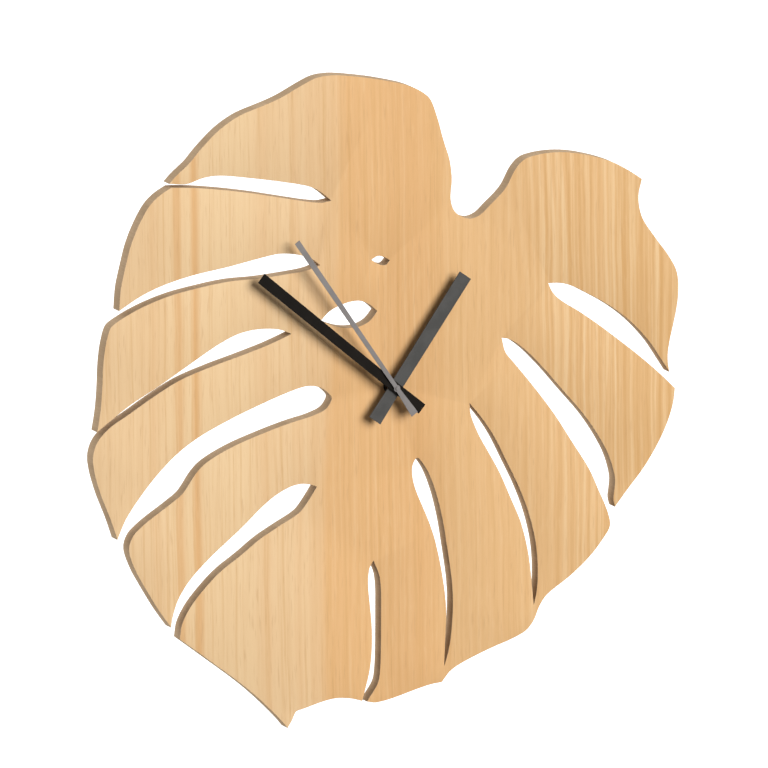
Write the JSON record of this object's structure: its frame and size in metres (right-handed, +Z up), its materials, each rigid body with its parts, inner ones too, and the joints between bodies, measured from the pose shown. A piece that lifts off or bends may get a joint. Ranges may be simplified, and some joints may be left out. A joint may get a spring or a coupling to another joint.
{
  "type": "wall clock",
  "caption": "Leaf-shaped wooden wall clock: a split-leaf board with straight hour, minute and second hands and a battery quartz movement hung from a nail.",
  "frame": {"origin": "on the hand axis, in the plane of the wall, which is the rear face of the movement", "axes": "+Z up, -Y is the dial side, +Y points into the wall along the hand axis"},
  "size_m": [0.396, 0.0367, 0.4016],
  "materials": {
    "wood": "pale pine ply, oiled, vertical grain, brown laser-cut edge",
    "hour_paint": "satin dark grey paint",
    "minute_paint": "satin black paint",
    "second_paint": "satin silver grey paint",
    "case_plastic": "fine textured black plastic",
    "white_plastic": "moulded white acetal",
    "red_plastic": "moulded red acetal",
    "steel": "bright zinc plated steel sheet",
    "dark_steel": "blackened steel",
    "brass": "turned brass",
    "rubber": "soft black rubber",
    "copper": "enamelled copper wire",
    "circuit": "green circuit board",
    "epoxy": "black epoxy drop",
    "battery_jacket": "plain blue battery jacket, no lettering",
    "magnet": "grey ferrite"
  },
  "bodies": {
    "clock": {"leaf_dial": "wood", "hanger_plate": "steel", "rubber_washer": "rubber", "dial_washer": "dark_steel", "dial_nut": "dark_steel", "threaded_bushing": "brass", "case_front": "case_plastic", "case_back": "case_plastic", "mid_plate": "white_plastic", "battery": "battery_jacket", "contact_positive": "steel", "contact_negative": "steel", "circuit_board": "circuit", "quartz_crystal": "steel", "chip_blob": "epoxy", "coil_bobbin": "white_plastic", "coil_winding": "copper", "coil_core": "steel", "stator": "steel"},
    "seconds": {"second_hand": "second_paint", "second_hand_bush": "second_paint", "second_arbor": "steel", "second_wheel": "red_plastic"},
    "rotor": {"rotor_magnet": "magnet", "rotor_pinion": "white_plastic"},
    "intermediate": {"intermediate_wheel": "white_plastic"},
    "third": {"third_wheel": "white_plastic"},
    "minute_drive": {"minute_drive_wheel": "white_plastic"},
    "minutes": {"minute_hand": "minute_paint", "cannon_pinion": "brass"},
    "motion": {"motion_wheel": "white_plastic"},
    "hours": {"hour_hand": "hour_paint", "hour_wheel": "white_plastic"},
    "knob": {"setting_knob": "case_plastic"}
  },
  "joints": [
    {"name": "second_hand_turn", "type": "hinge", "parent": "clock", "child": "seconds", "pos_m": [0, 0, 0], "axis": [0, 1, 0], "continuous": true},
    {"name": "minute_hand_turn", "type": "hinge", "parent": "clock", "child": "minutes", "pos_m": [0, 0, 0], "axis": [0, 1, 0], "continuous": true},
    {"name": "hour_hand_turn", "type": "hinge", "parent": "clock", "child": "hours", "pos_m": [0, 0, 0], "axis": [0, 1, 0], "continuous": true},
    {"name": "setting_knob_turn", "type": "hinge", "parent": "clock", "child": "knob", "pos_m": [0.01634, 0, -0.00143], "axis": [0, 1, 0], "continuous": true},
    {"name": "rotor_turn", "type": "hinge", "parent": "clock", "child": "rotor", "pos_m": [-0.01034, 0, 0.01234], "axis": [0, 1, 0], "continuous": true},
    {"name": "intermediate_wheel_turn", "type": "hinge", "parent": "clock", "child": "intermediate", "pos_m": [-0.00909, 0, 0.00525], "axis": [0, 1, 0], "continuous": true},
    {"name": "third_wheel_turn", "type": "hinge", "parent": "clock", "child": "third", "pos_m": [0.00772, 0, 0.00648], "axis": [0, 1, 0], "continuous": true},
    {"name": "minute_drive_wheel_turn", "type": "hinge", "parent": "clock", "child": "minute_drive", "pos_m": [0, 0, 0], "axis": [0, 1, 0], "continuous": true},
    {"name": "motion_wheel_turn", "type": "hinge", "parent": "clock", "child": "motion", "pos_m": [0.00797, 0, -0.0007], "axis": [0, 1, 0], "continuous": true}
  ],
  "couplings": [
    {"joint": "intermediate_wheel_turn", "follows": "second_hand_turn", "ratio": -6},
    {"joint": "rotor_turn", "follows": "second_hand_turn", "ratio": 30},
    {"joint": "third_wheel_turn", "follows": "second_hand_turn", "ratio": -0.125},
    {"joint": "minute_drive_wheel_turn", "follows": "second_hand_turn", "ratio": 0.016667},
    {"joint": "motion_wheel_turn", "follows": "minute_hand_turn", "ratio": -0.33333},
    {"joint": "hour_hand_turn", "follows": "minute_hand_turn", "ratio": 0.083333},
    {"joint": "setting_knob_turn", "follows": "minute_hand_turn", "ratio": 0.83333}
  ]
}
